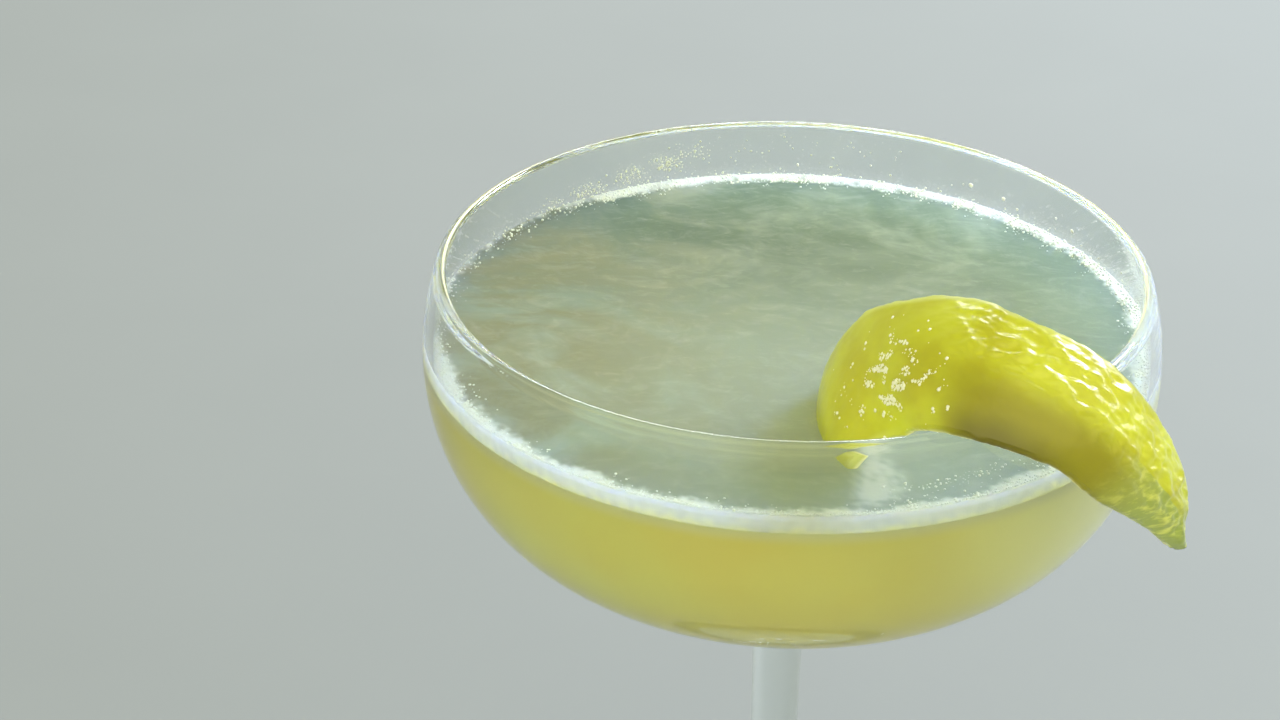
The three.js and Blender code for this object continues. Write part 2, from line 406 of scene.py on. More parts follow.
def mesh_object(name: str, points: Array, faces: list, rounded: bool = True) -> Piece:
    """Makes a mesh object at the origin, with its faces turned outwards.

    Args:
        name: The object's name.
        points: One row of x, y and z for each point.
        faces: Tuples of point numbers.
        rounded: Whether its shading is smooth.

    Returns:
        The new object, in the scene.
    """
    mesh = bpy.data.meshes.new(name)
    mesh.from_pydata([tuple(p) for p in points], [], faces)
    work = bmesh.new()
    work.from_mesh(mesh)
    bmesh.ops.recalc_face_normals(work, faces=work.faces)
    work.to_mesh(mesh)
    work.free()
    mesh.polygons.foreach_set("use_smooth", [rounded] * len(mesh.polygons))
    piece = bpy.data.objects.new(name, mesh)
    bpy.context.scene.collection.objects.link(piece)
    return piece


def set_numbers(piece: Piece, name: str, values: Array) -> None:
    """Stores one number for each point of a piece, for its material or for scattering on it."""
    layer = piece.data.attributes.new(name, "FLOAT", "POINT")
    layer.data.foreach_set("value", np.asarray(values, dtype=np.float32))


def turned_grid(outline: Outline, segments: int) -> tuple[Array, list]:
    """Turns an outline about the vertical axis.

    Args:
        outline: Radius and height of each point. A radius of 0 makes a pole.
        segments: How many steps a full turn has.

    Returns:
        The points, and the faces as tuples of point numbers.
    """
    turn = np.linspace(0, 2 * math.pi, segments, endpoint=False)
    points, rings = [], []
    for radius, height in outline:
        if radius <= 0:
            rings.append(np.full(segments, len(points)))
            points.append((0.0, 0.0, height))
        else:
            rings.append(np.arange(segments) + len(points))
            points.extend(zip(radius * np.cos(turn), radius * np.sin(turn), np.full(segments, height)))
    faces = []
    for low, high in zip(rings, rings[1:]):
        corners = zip(low, np.roll(low, -1), np.roll(high, -1), high)
        faces.extend(tuple(dict.fromkeys(int(c) for c in quad)) for quad in corners)
    return np.array(points), faces


def dress(piece: Piece, material: Finish, slot: Slot, *nodes: str) -> Piece:
    """Gives a piece its material and its body, and hides the nodes that it stands for.

    Args:
        piece: The piece.
        material: Its material.
        slot: The record's slot, which is not used.
        nodes: Names of the nodes that it replaces.

    Returns:
        The piece.
    """
    piece.data.materials.clear()
    piece.data.materials.append(material)
    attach(piece, BODY)
    if nodes:
        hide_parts(*nodes)
    LOG.info("%s: %d faces", piece.name, len(piece.data.polygons))
    return piece


def kept_result(piece: Piece) -> bpy.types.Mesh:
    """The mesh that a piece has once its modifiers are applied."""
    bpy.context.view_layer.update()
    return bpy.data.meshes.new_from_object(piece.evaluated_get(bpy.context.evaluated_depsgraph_get()))


def cut_with(piece: Piece, tool: Piece) -> None:
    """Cuts one closed mesh out of another and keeps the result as the piece's own mesh.

    Args:
        piece: What is cut.
        tool: What is cut out, which stays.
    """
    cut = piece.modifiers.new("cut", "BOOLEAN")
    cut.operation, cut.object, cut.solver = "DIFFERENCE", tool, "EXACT"
    result = kept_result(piece)
    piece.modifiers.clear()
    piece.data = result


def wobble(points: Array, size_mm: float, seed: float = 0.0) -> Array:
    """Soft noise at points, between about -1 and 1.

    Args:
        points: One row of coordinates in metres for each point.
        size_mm: Size of a bump of the noise in millimetres.
        seed: Moves the noise, for another pattern.

    Returns:
        One number for each point.
    """
    scale = 1.0 / (size_mm * MM)
    return np.array([noise.noise(Vector(p) * scale + Vector((seed, seed, seed))) for p in points])


def rise(values: Array, low: float, high: float) -> Array:
    """Rises smoothly from 0 at low to 1 at high.

    Args:
        values: The numbers.
        low: Where the result leaves 0.
        high: Where it reaches 1.

    Returns:
        One number for each value.
    """
    share = np.clip((values - low) / (high - low), 0, 1)
    return share * share * (3 - 2 * share)


def angles(points: Array) -> Array:
    """Direction of each point from the middle in degrees, from -180 to 180, with 0 at the right."""
    return np.degrees(np.arctan2(points[:, 1], points[:, 0]))


@dataclass(frozen=True)
class BowlForm:
    """The bowl's surfaces, which all that is in the glass is fitted to. Depths are from the rim."""

    height: float
    widest: float
    rim: float = 45.0 * MM
    widest_depth: float = 11.6 * MM
    depth: float = 40.85 * MM
    side_exponent: float = 3.3
    wall: float = 1.25 * MM
    floor: float = 2.6 * MM

    def radius(self, depth: float, inset: float, lowest: float) -> float:
        """Radius of a surface of the bowl.

        Args:
            depth: Depth of the point below the rim.
            inset: How far the surface lies inside the outer one at the widest place.
            lowest: The surface's greatest depth.

        Returns:
            The radius.
        """
        if depth <= self.widest_depth:
            share = (self.widest_depth - depth) / self.widest_depth
            return self.widest - inset - (self.widest - self.rim) * share * share
        share = min(1.0, (depth - self.widest_depth) / (lowest - self.widest_depth))
        return (self.widest - inset) * (1 - share * share) ** (1 / self.side_exponent)

    def inside(self, depth: float, gap: float = 0.0) -> float:
        """Radius of the inner surface at a depth, less a gap."""
        return self.radius(depth, self.wall, self.depth - self.floor) - gap

    def side(self, inset: float, lowest: float, start: float, steps: int) -> Outline:
        """Points down one surface, from a depth to near its lowest place.

        Args:
            inset: As in radius.
            lowest: As in radius.
            start: The first point's depth.
            steps: How many points lie below the widest place.

        Returns:
            Radius and height of each point, downwards.
        """
        upper = max(1, int(steps / 3))
        depths = [start + (self.widest_depth - start) * i / upper for i in range(upper)]
        if start >= self.widest_depth:
            depths = []
        reach = lowest - self.widest_depth
        depths += [self.widest_depth + reach * math.sin(math.pi / 2 * i / steps) for i in range(steps)]
        return [(self.radius(d, inset, lowest), self.height - d) for d in depths if d >= start]


@dataclass
class CoupeGlass:
    """Bowl, stem and foot, one piece of glass.

    A flare is how far the stem widens and over what height. Inside join_radius, the bowl's outer side
    gives way to the stem's flare.
    """

    form: BowlForm
    stem: float = 3.2 * MM
    foot: float = 35.0 * MM
    foot_edge: float = 1.6 * MM
    ring_inside: float = 25.0 * MM
    punt: float = 0.9 * MM
    punt_radius: float = 15.0 * MM
    foot_flares: tuple = ((53.0 * MM, 1.9 * MM), (11.6 * MM, 6.5 * MM))
    bowl_flares: tuple = ((1.3 * MM, 9.0 * MM), (2.6 * MM, 0.7 * MM))
    first_step: float = 0.12 * MM
    join_radius: float = 9.6 * MM
    segments: int = 160
    bowl_steps: int = 44
    stem_steps: int = 26
    lip_steps: int = 9
    punt_steps: int = 5

    def underside(self) -> Outline:
        """The foot's underside and rounded edge, from the middle outwards.

        Returns:
            Radius and height of each point.
        """
        points = [(0.0, self.punt), (self.punt_radius, self.punt)]
        for i in range(1, self.punt_steps + 1):
            share = i / self.punt_steps
            points.append((self.punt_radius + (self.ring_inside - self.punt_radius) * share,
                           self.punt * 0.5 * (1 + math.cos(math.pi * share))))
        half = self.foot_edge / 2
        for i in range(self.lip_steps):
            turn = math.pi * (i / (self.lip_steps - 1) - 0.5)
            points.append((self.foot - half + half * math.cos(turn), half + half * math.sin(turn)))
        return points

    def stem_side(self) -> Outline:
        """The foot's upper side and the stem, one sweep up to the bowl.

        Returns:
            Radius and height of each point.
        """
        top = self.form.height - self.form.depth
        middle = (top + self.foot_edge) / 2
        shares = [i / self.stem_steps for i in range(self.stem_steps + 1)]
        up = [self.foot_edge * (middle / self.foot_edge) ** s for s in shares[1:-1]]
        down = [top - self.first_step * ((top - middle) / self.first_step) ** s for s in shares[:0:-1]]
        points = []
        for height in up + down:
            flare = sum(s * math.exp(-height / length) for s, length in self.foot_flares)
            flare += sum(s * math.exp((height - top) / length) for s, length in self.bowl_flares)
            points.append((min(self.stem + flare, self.foot - self.foot_edge / 3), height))
        return points

    def lip(self) -> Outline:
        """The rounded lip, from its outer side over the top to its inner side.

        Returns:
            Radius and height of each point.
        """
        half = self.form.wall / 2
        turns = [math.pi * (i + 0.5) / self.lip_steps for i in range(self.lip_steps)]
        return [(self.form.rim - half + half * math.cos(t), self.form.height - half + half * math.sin(t))
                for t in turns]

    def build(self) -> Piece:
        """Makes the glass.

        Returns:
            The piece.
        """
        form = self.form
        outer = form.side(0.0, form.depth, form.wall / 2, self.bowl_steps)[::-1]
        inner = form.side(form.wall, form.depth - form.floor, form.wall / 2, self.bowl_steps)
        outline = self.underside() + self.stem_side()
        outline += [p for p in outer if p[0] > self.join_radius] + self.lip() + inner
        outline.append((0.0, form.height - form.depth + form.floor))
        piece = mesh_object("coupe", *turned_grid(outline, self.segments))
        return dress(piece, SodaLimeGlass().material(), Slot.GLASS, "coupe_glass")


def catmull_rom(points: Array, shares: Array) -> Array:
    """A smooth centripetal curve through points, as the frame's own source draws it.

    Args:
        points: One row for each point that the curve passes.
        shares: Places along the curve, from 0 to 1, with the points evenly spaced.

    Returns:
        One row of coordinates for each share.
    """
    full = np.vstack([2 * points[0] - points[1], points, 2 * points[-1] - points[-2]])
    place = np.clip(shares, 0, 1) * (len(points) - 1)
    index = np.minimum(place.astype(int), len(points) - 2)
    t = (place - index)[:, None]
    p0, p1, p2, p3 = (full[index + i] for i in range(4))
    d0, d1, d2 = (np.sum((b - a) ** 2, axis=1)[:, None] ** 0.25 for a, b in ((p0, p1), (p1, p2), (p2, p3)))
    start = ((p1 - p0) / d0 - (p2 - p0) / (d0 + d1) + (p2 - p1) / d1) * d1
    end = ((p2 - p1) / d1 - (p3 - p1) / (d1 + d2) + (p3 - p2) / d2) * d1
    bend = 2 * p1 - 2 * p2 + start + end
    return p1 + start * t + (3 * p2 - 3 * p1 - 2 * start - end) * t * t + bend * t ** 3


def pitting(along: Array, across: Array, pitch: tuple[float, float], size: float, seed: int) -> Array:
    """Depth of small round pits that are scattered evenly but not in rows.

    Args:
        along: First coordinate of each point, in millimetres.
        across: Second coordinate.
        pitch: Mean distance between pits both ways.
        size: A pit's radius.
        seed: Fixes the scatter.

    Returns:
        The depth at each point, from 0 to 1.
    """
    depth = np.zeros(len(along))
    column, row = np.floor(along / pitch[0]).astype(int), np.floor(across / pitch[1]).astype(int)
    for step_a in (-1, 0, 1):
        for step_b in (-1, 0, 1):
            cell_a, cell_b = column + step_a, row + step_b
            cell = cell_a * DRAW_COLUMN + cell_b * DRAW_ROW + seed
            waves = [np.abs(np.sin(cell + kind * DRAW_KIND)) for kind in range(3)]
            draw = [np.modf(wave * DRAW_SPREAD)[0] for wave in waves]
            distance = np.hypot(along - (cell_a + 0.15 + 0.7 * draw[0]) * pitch[0],
                                (across - (cell_b + 0.15 + 0.7 * draw[1]) * pitch[1]) * pitch[0] / pitch[1])
            radius = size * (0.55 + 0.75 * draw[2])
            here = np.clip(1 - (distance / radius) ** 2, 0, 1) ** 1.5 * (0.5 + 0.5 * draw[2])
            depth = np.maximum(depth, here)
    return depth


@dataclass
class Strip:
    """All points of the peel's surface before its fine relief, section after section.

    Each has its place across (-1 to 1), its share of the thickness (0 on the zest, 1 on the pith), its
    place along the strip (u, 0 to 1), and in metres its run along, its reach across and half the width.
    """

    points: Array
    normal: Array
    across: Array
    place: Array
    share: Array
    u: Array
    run: Array
    reach: Array
    half_width: Array
    sides: int

    def closed(self, points: Array) -> Array:
        """Adds the middle point of each end."""
        ends = [points[:self.sides].mean(axis=0), points[-self.sides:].mean(axis=0)]
        return np.vstack([points, ends])

    def faces(self) -> list:
        """Faces round and along the strip, with a fan at each end about its own middle point.

        Returns:
            Tuples of point numbers. The two middle points come after all others.
        """
        sides, faces = self.sides, []
        last = len(self.points) - sides
        for low in range(0, last, sides):
            faces += [(low + j, low + (j + 1) % sides, low + sides + (j + 1) % sides, low + sides + j)
                      for j in range(sides)]
        for j in range(sides):
            following = (j + 1) % sides
            faces.append((following, j, last + sides))
            faces.append((last + j, last + following, last + sides + 1))
        return faces


@dataclass
class LemonPeel:
    """The strip of rind: one end in the drink, an arch over the rim, and a pointed end outside. Its two
    edges pass the points in far and near, in millimetres from the middle of the rim."""

    form: BowlForm
    thickness: float = 2.2 * MM
    edge_share: float = 0.45
    crown: float = 1.95 * MM
    end_crown: float = 0.75 * MM
    edge_bulge: float = 0.16 * MM
    rim_gap: float = 0.25 * MM
    rim_reach: float = 4 * MM
    steps: int = 430
    zest_sides: int = 104
    pith_sides: int = 30
    cut_sides: int = 5
    direction_step: float = 0.5 / 36
    pit_pitch_mm: tuple[float, float] = (1.9, 1.2)
    pit_radius_mm: float = 0.62
    far: tuple = ((5, -14, -17), (4, -16.5, -8), (5.5, -18, -2), (9, -20, 4), (14, -24, 8), (20.5, -28, 10.5),
                  (27.5, -34.5, 11), (36, -37, 7.5), (42, -36.5, 0.5), (46.3, -35, -9), (46.4, -35.5, -16))
    near: tuple = ((6.5, -34.5, -17), (7, -34.5, -10), (10, -34.5, -6), (13, -37.5, -2.5), (15.5, -41.5, 0.7),
                   (19, -44.5, 2), (23.5, -46.3, 1.7), (30, -46.4, -0.7), (35, -45, -5.5), (41.5, -40, -12),
                   (45.5, -36.5, -17))

    def edges(self, shares: Array) -> tuple[Array, Array]:
        """The two edges of the strip.

        Args:
            shares: Places along the strip, from 0 to 1.

        Returns:
            Points of the far edge and of the near edge, in metres.
        """
        lift = np.array([0, 0, self.form.height])
        return tuple(catmull_rom(np.array(side, float) * MM, shares) + lift for side in (self.far, self.near))

    @staticmethod
    def section(sides: int, pith_sides: int, cut_sides: int) -> tuple[Array, Array]:
        """The rounds of one cross-section, as place across and share of the thickness.

        Args:
            sides: Steps over the zest.
            pith_sides: Steps over the pith.
            cut_sides: Steps down each cut edge.

        Returns:
            The place from -1 to 1, and the share from 0 on the zest to 1 on the pith.
        """
        over = np.linspace(-1, 1, sides, endpoint=False)
        down = np.linspace(0, 1, cut_sides, endpoint=False)
        back = np.linspace(1, -1, pith_sides, endpoint=False)
        place = np.concatenate([over, np.ones(cut_sides), back, -np.ones(cut_sides)])
        share = np.concatenate([np.zeros(sides), down, np.ones(pith_sides), 1 - down])
        return place, share

    def strip(self, steps: int, sides: tuple[int, int, int], grow: float) -> Strip:
        """Lays the strip along its two edges.

        Args:
            steps: Steps along the strip.
            sides: Steps over the zest, over the pith and down each cut edge.
            grow: How much larger the strip is made on all sides.

        Returns:
            The strip.
        """
        place, share = self.section(*sides)
        u = np.linspace(0, 1, steps + 1)
        far, near = self.edges(u)
        ahead, behind = (np.add(*self.edges(u + way * self.direction_step)) for way in (1, -1))
        along = ahead - behind
        along /= np.linalg.norm(along, axis=1)[:, None]
        across = far - near
        width = np.linalg.norm(across, axis=1)
        across /= width[:, None]
        zest = np.cross(along, across)
        zest /= np.linalg.norm(zest, axis=1)[:, None]
        crown = self.crown - self.end_crown * np.abs(2 * u - 1) ** 3
        depth = self.thickness * (self.edge_share + (1 - self.edge_share) * np.sqrt(1 - place ** 4))
        bulge = np.where(np.abs(place) >= 1, self.edge_bulge * np.sin(math.pi * share), 0.0)
        lift = crown[:, None] * (1 - place ** 2) - depth * share + grow * (1 - 2 * share)
        reach = place * (width[:, None] / 2 + grow + bulge)
        middle = (far + near) / 2
        points = (middle[:, None] + across[:, None] * reach[..., None] + zest[:, None] * lift[..., None])
        slope = -2 * crown[:, None] * place / (width[:, None] / 2)
        normal = zest[:, None] - across[:, None] * slope[..., None]
        normal /= np.linalg.norm(normal, axis=2)[..., None]
        run = np.concatenate([[0], np.cumsum(np.linalg.norm(np.diff(middle, axis=0), axis=1))])
        count, rows = len(place), steps + 1
        return Strip(points.reshape(-1, 3), normal.reshape(-1, 3), np.repeat(across, count, axis=0),
                     np.tile(place, rows), np.tile(share, rows), np.repeat(u, count), np.repeat(run, count),
                     reach.ravel(), np.repeat(width / 2, count), count)

    def plug(self) -> Piece:
        """A plain copy of the strip, a little slimmer, that cuts its hole in drink and foam."""
        strip = self.strip(60, (10, 8, 1), -0.12 * MM)
        return mesh_object("peel_plug", strip.closed(strip.points), strip.faces())

    def clear_of_glass(self, points: Array) -> Array:
        """Lifts points that would cut the rim until they lie just over it, and keeps all in the frame's box.

        Args:
            points: One row for each point.

        Returns:
            The points, moved where they had to be.
        """
        radius = np.hypot(points[:, 0], points[:, 1])
        over = self.form.height + self.rim_gap - points[:, 2]
        inner = self.form.rim - self.form.wall - self.rim_gap
        outer = self.form.rim + self.rim_gap
        hits = (over > 0) & (over < self.rim_reach) & (radius > inner) & (radius < outer)
        moved = points.copy()
        moved[hits, 2] += over[hits]
        moved[:, 2] = np.minimum(moved[:, 2], CAD_BOX[1][2])
        return moved

    def build(self) -> Piece:
        """Makes the peel: pits, wrinkles and small beads on the zest, most of them on the ridge of the far
        half, fibres on the pith, and uneven cut edges. All heights here are in millimetres.

        Returns:
            The piece.
        """
        strip = self.strip(self.steps, (self.zest_sides, self.pith_sides, self.cut_sides), 0.0)
        flat, place, share, u = strip.points, strip.place, strip.share, strip.u
        run, reach = strip.run / MM, strip.reach / MM
        from_edge = np.clip(strip.half_width / MM - np.abs(reach), 0, None)
        calm = rise(from_edge, 0.0, 1.2)
        ridge = rise(place + 1.6 * np.clip(u - 0.56, 0, 1), -0.25, 0.25) * rise(u, 0.44, 0.56)
        rough = 0.10 + 0.90 * ridge
        pits = pitting(run + 0.5 * wobble(flat, 5.0, 3.1), reach + 0.4 * wobble(flat, 4.0, 9.7),
                       self.pit_pitch_mm, self.pit_radius_mm, 5)
        sheet = np.column_stack([run, reach, np.zeros_like(run)]) * MM
        bent = sheet * np.array([0.72, 1.0, 1.0]) + 0.25 * MM * wobble(flat, 2.0, 8.1)[:, None]
        beads = wobble(sheet * np.array([0.6, 1.0, 1.0]), 0.55, 7.4)
        dents = wobble(flat, 3.4, 1.7)
        relief = (-0.06 * pits + 0.45 * wobble(bent, 1.15, 4.4) + 0.12 * beads) * rough * calm
        relief += 0.08 * dents * calm * (0.4 + 0.6 * rough)
        fibres = 0.10 * wobble(flat, 1.1, 5.5) + 0.16 * wobble(flat, 3.0, 6.5)
        lift = np.where(share <= 0, relief, 0.0) - np.where(share >= 1, fibres * calm, 0.0)
        cut = 0.20 * wobble(flat, 2.6, 8.8) + 0.10 * wobble(flat, 0.9, 2.2)
        rough_cut = np.sign(place) * (cut - 0.12) * (np.abs(place) > 0.97)
        points = flat + strip.normal * (lift * MM)[:, None] + strip.across * (rough_cut * MM)[:, None]
        piece = mesh_object("lemon_peel", strip.closed(self.clear_of_glass(points)), strip.faces())
        self.mark(piece, strip, from_edge, dents, pits * rough * (share <= 0))
        # Where foam bubbles cling to the zest; their white partly stands for glints, as painted highlights.
        clumps = rise(wobble(sheet * np.array([0.7, 1.0, 1.0]), 1.5, 14.0), 0.04, 0.34)
        gather = np.exp(-((u - 0.33) / 0.085) ** 2 - ((place + 0.30) / 0.42) ** 2) * (share <= 0)
        set_numbers(piece, "cover", np.concatenate([gather * clumps, [0, 0]]))
        return dress(piece, LemonRind().material(), Slot.ZEST, "lemon_peel_twist")

    @staticmethod
    def mark(piece: Piece, strip: Strip, from_edge: Array, dents: Array, pits: Array) -> None:
        """Tells the rind's material where each of its colours lies, the painted shade of the valley and the
        lower edge among them.

        Args:
            piece: The peel.
            strip: The strip that it was made from.
            from_edge: Distance of each point from the cut edge in millimetres.
            dents: Soft noise that makes the shaded edge uneven.
            pits: Depth of the pits.
        """
        place, share, u = strip.place, strip.share, strip.u
        rim_band = 1 - rise(from_edge, 0.35, 1.3 - 0.5 * rise(u, 0.45, 0.7))
        far_side = (place > 0) * (1 - 0.8 * rise(u, 0.45, 0.6))
        pale = rim_band * np.maximum(far_side, 0.8 * (1 - rise(u, 0.2, 0.34)))
        # Painted shade along the lower edge of the middle, where it faces down and away from the lamps.
        shaded_low_edge = rise(-place + 0.10 * dents, 0.50, 1.0) * rise(u, 0.42, 0.55) * (1 - rise(u, 0.60, 0.76))
        edge_shade = shaded_low_edge * (1 - rise(share, 0.7, 0.95))
        tip = rise(u + 0.10 * (place < 0) * rise(u, 0.6, 0.8), 0.84, 0.98)
        # Painted shade in the valley, which faces the viewer and not the lamps.
        shaded_valley = rise(-place, -0.15, 0.5) * rise(u, 0.40, 0.56) * (1 - rise(u, 0.78, 0.9))
        marks = {"pit": (pits, 0, 0), "pith": (rise(share, 0.3, 0.8) * (1 - edge_shade), 1, 0.5),
                 "cut": (pale * 0.85, 1, 1), "tip": (tip, 0, 1), "shade_olive": (edge_shade, 0, 0),
                 "shaded_valley": (shaded_valley, 0, 0)}
        for name, (values, first_end, last_end) in marks.items():
            set_numbers(piece, name, np.concatenate([values, [first_end, last_end]]))


@dataclass
class Drink:
    """The liquid under the foam. It reaches just into the glass, so no air shows between them."""

    form: BowlForm
    top_depth: float = 11.0 * MM
    reach: float = 0.12 * MM
    segments: int = 160
    steps: int = 40
    top_rings: int = 12

    def build(self, plug: Piece) -> Piece:
        """Makes the drink.

        Args:
            plug: What is cut out of it for the peel.

        Returns:
            The piece.
        """
        form = self.form
        lowest = form.depth - form.floor + self.reach
        top, edge = form.height - self.top_depth, form.inside(self.top_depth) + self.reach
        outline = [(edge * i / self.top_rings, top) for i in range(self.top_rings)]
        outline += form.side(form.wall - self.reach, lowest, self.top_depth, self.steps)
        outline.append((0.0, form.height - lowest))
        piece = mesh_object("drink", *turned_grid(outline, self.segments))
        cut_with(piece, plug)
        material = CloudyLemonDrink().material(top, lowest - self.top_depth)
        return dress(piece, material, Slot.DRINK, "cocktail_drink")


@dataclass
class FoamCap:
    """The foam: a thin layer, smooth in the middle, with a ragged white froth that climbs the glass. Froth
    also gathers where the peel's near edge goes in, at foot, where its white is partly painted light for
    the foam lit under the peel's arch."""

    form: BowlForm
    depth: float = 9.3 * MM
    thickness: float = 1.95 * MM
    reach: float = 0.18 * MM
    climb: float = 0.55 * MM
    climb_width: float = 1.6 * MM
    froth_width: float = 2.6 * MM
    foot: tuple[float, float] = (10.5 * MM, -37.5 * MM)
    fine_band: float = 4.5 * MM
    middle_rings: int = 48
    fine_rings: int = 22
    side_rings: int = 8
    segments: int = 720

    def radii(self) -> Array:
        """Radii of the rings over the foam, closer together at the glass."""
        edge = self.form.inside(self.depth) + self.reach
        fine = edge - self.fine_band
        return np.concatenate([np.linspace(0, fine, self.middle_rings)[1:],
                               np.linspace(fine, edge, self.fine_rings)[1:]])

    @staticmethod
    def bare_left(points: Array) -> Array:
        """Share of the froth that is missing along the glass at the left and back left."""
        angle = angles(points) % 360
        return rise(angle, 118, 142) * (1 - rise(angle, 184, 200))

    def top_height(self, points: Array) -> tuple[Array, Array]:
        """Height of the foam's surface and how white its froth is.

        Args:
            points: One row for each point, of which the height isn't read.

        Returns:
            The heights, and the froth's numbers from 0 to 1.
        """
        flat = points * np.array([1.0, 1.0, 0.0])
        x, y = flat[:, 0], flat[:, 1]
        radius = np.hypot(x, y)
        edge = self.form.inside(self.depth) + self.reach
        ragged = wobble(flat, 4.0, 4.0) * 0.9 * MM + wobble(flat, 0.9, 6.0) * 0.7 * MM
        width = self.froth_width * (1 - 0.35 * rise(y, -10 * MM, 20 * MM)) * (1 - 0.7 * self.bare_left(flat))
        froth = rise(radius - (edge - width + ragged), -0.3 * MM, 1.3 * MM)
        # Froth at the peel's foot: partly foam pushed up, partly painted light for the foam lit under the arch.
        foot = np.hypot(x - self.foot[0], (y - self.foot[1]) / 2.6)
        froth = np.maximum(froth, 0.5 * (1 - rise(foot + 2.2 * ragged, 0.6 * MM, 3.6 * MM)))
        bubbles = wobble(flat, 0.7, 12.0) * 0.10 + wobble(flat, 1.6, 2.0) * 0.08
        calm = wobble(flat, 9.0, 7.0) * 0.05 + wobble(flat, 2.4, 1.0) * 0.02
        climb = self.climb * np.clip((radius - edge + self.climb_width) / self.climb_width, 0, 1) ** 2
        return self.form.height - self.depth + climb + (froth * bubbles + calm) * MM, froth

    def build(self, plug: Piece) -> Piece:
        """Makes the foam.

        Args:
            plug: What is cut out of it for the peel.

        Returns:
            The piece.
        """
        radii = self.radii()
        base = self.form.height - self.depth
        edge, bottom = radii[-1], base - self.thickness
        outline = [(0.0, base)] + [(r, base) for r in radii]
        outline += [(edge, base - self.thickness * i / self.side_rings) for i in range(1, self.side_rings + 1)]
        outline += [(edge * 0.5, bottom), (0.0, bottom)]
        points, faces = turned_grid(outline, self.segments)
        top = points[:, 2] > base - 0.1 * MM
        heights, froth = self.top_height(points)
        mottle = wobble(points, 1.1, 8.0)
        fallen = (base - points[:, 2]) / self.thickness + 0.35 * mottle + 0.25 * wobble(points, 5.0)
        points[top, 2] = heights[top]
        piece = mesh_object("foam", points, faces)
        set_numbers(piece, "froth", np.where(top, froth, np.clip(0.95 + 0.15 * mottle, 0, 1)))
        set_numbers(piece, "sink", np.where(top, 0.0, rise(fallen, 0.30, 1.05)))
        cut_with(piece, plug)
        return dress(piece, WetFoam().material(), Slot.FOAM, "foam_cap")


@dataclass
class Scatter:
    """Small round beads scattered over a surface by geometry nodes, then kept as one plain mesh.

    The density is in beads to the square metre, and largest and smallest are their radii.
    """

    name: str
    density: float
    largest: float
    smallest: float
    flatness: float
    seed: int
    rarity: float = 3.0

    def tree(self) -> Tree:
        """Builds the geometry nodes: points on faces, a bead on each, all made real.

        Returns:
            The node group, whose inputs are named for what they set.
        """
        tree = bpy.data.node_groups.new(self.name + " beads", "GeometryNodeTree")
        wanted = {"Geometry": "Geometry", "Density": "Float", "Largest": "Float", "Smallest": "Float",
                  "Flatness": "Float", "Rarity of large ones": "Float", "Seed": "Int", "Finish": "Material"}
        tree.interface.new_socket("Geometry", in_out="OUTPUT", socket_type="NodeSocketGeometry")
        for name, kind in wanted.items():
            tree.interface.new_socket(name, in_out="INPUT", socket_type="NodeSocket" + kind)
        given = add(tree, "NodeGroupInput").outputs
        cover = add(tree, "GeometryNodeInputNamedAttribute", {"Name": "cover"}, data_type="FLOAT")
        amount = add(tree, "ShaderNodeMath", {0: cover.outputs["Attribute"], 1: given["Density"]},
                     operation="MULTIPLY")
        spots = add(tree, "GeometryNodeDistributePointsOnFaces",
                    {"Mesh": given["Geometry"], "Density": amount.outputs[0], "Seed": given["Seed"]})
        draw = add(tree, "FunctionNodeRandomValue", {"Min": 0.0, "Max": 1.0, "Seed": given["Seed"]},
                   data_type="FLOAT")
        chance = next(s for s in draw.outputs if s.enabled)
        rare = add(tree, "ShaderNodeMath", {0: chance, 1: given["Rarity of large ones"]}, operation="POWER")
        size = add(tree, "ShaderNodeMapRange", {"Value": rare.outputs[0], "To Min": given["Smallest"],
                                                "To Max": given["Largest"]}).outputs["Result"]
        thin = add(tree, "ShaderNodeMath", {0: size, 1: given["Flatness"]}, operation="MULTIPLY")
        scale = add(tree, "ShaderNodeCombineXYZ", {"X": size, "Y": size, "Z": thin.outputs[0]})
        bead = add(tree, "GeometryNodeMeshIcoSphere", {"Radius": 1.0, "Subdivisions": 1})
        beads = add(tree, "GeometryNodeInstanceOnPoints",
                    {"Points": spots.outputs["Points"], "Instance": bead.outputs["Mesh"],
                     "Rotation": spots.outputs["Rotation"], "Scale": scale.outputs["Vector"]})
        real = add(tree, "GeometryNodeRealizeInstances", {"Geometry": beads.outputs["Instances"]})
        rounded = add(tree, "GeometryNodeSetShadeSmooth", {"Geometry": real.outputs["Geometry"]})
        finished = add(tree, "GeometryNodeSetMaterial",
                       {"Geometry": rounded.outputs["Geometry"], "Material": given["Finish"]})
        add(tree, "NodeGroupOutput", {"Geometry": finished.outputs["Geometry"]})
        return tree

    def over(self, ground: Piece, material: Finish) -> Piece:
        """Scatters the beads over a surface, which is then removed.

        Args:
            ground: A mesh with a number called cover, the share of the density at each point.
            material: The beads' material.

        Returns:
            The beads as one plain piece, dressed.
        """
        values = {"Density": self.density, "Largest": self.largest, "Smallest": self.smallest,
                  "Flatness": self.flatness, "Rarity of large ones": self.rarity, "Seed": self.seed,
                  "Finish": material}
        modifier = ground.modifiers.new("beads", "NODES")
        modifier.node_group = self.tree()
        for item in modifier.node_group.interface.items_tree:
            if item.in_out == "INPUT" and item.name in values:
                modifier[item.identifier] = values[item.name]
        piece = bpy.data.objects.new(self.name, kept_result(ground))
        bpy.data.objects.remove(ground)
        bpy.context.scene.collection.objects.link(piece)
        return dress(piece, material, Slot.FOAM)


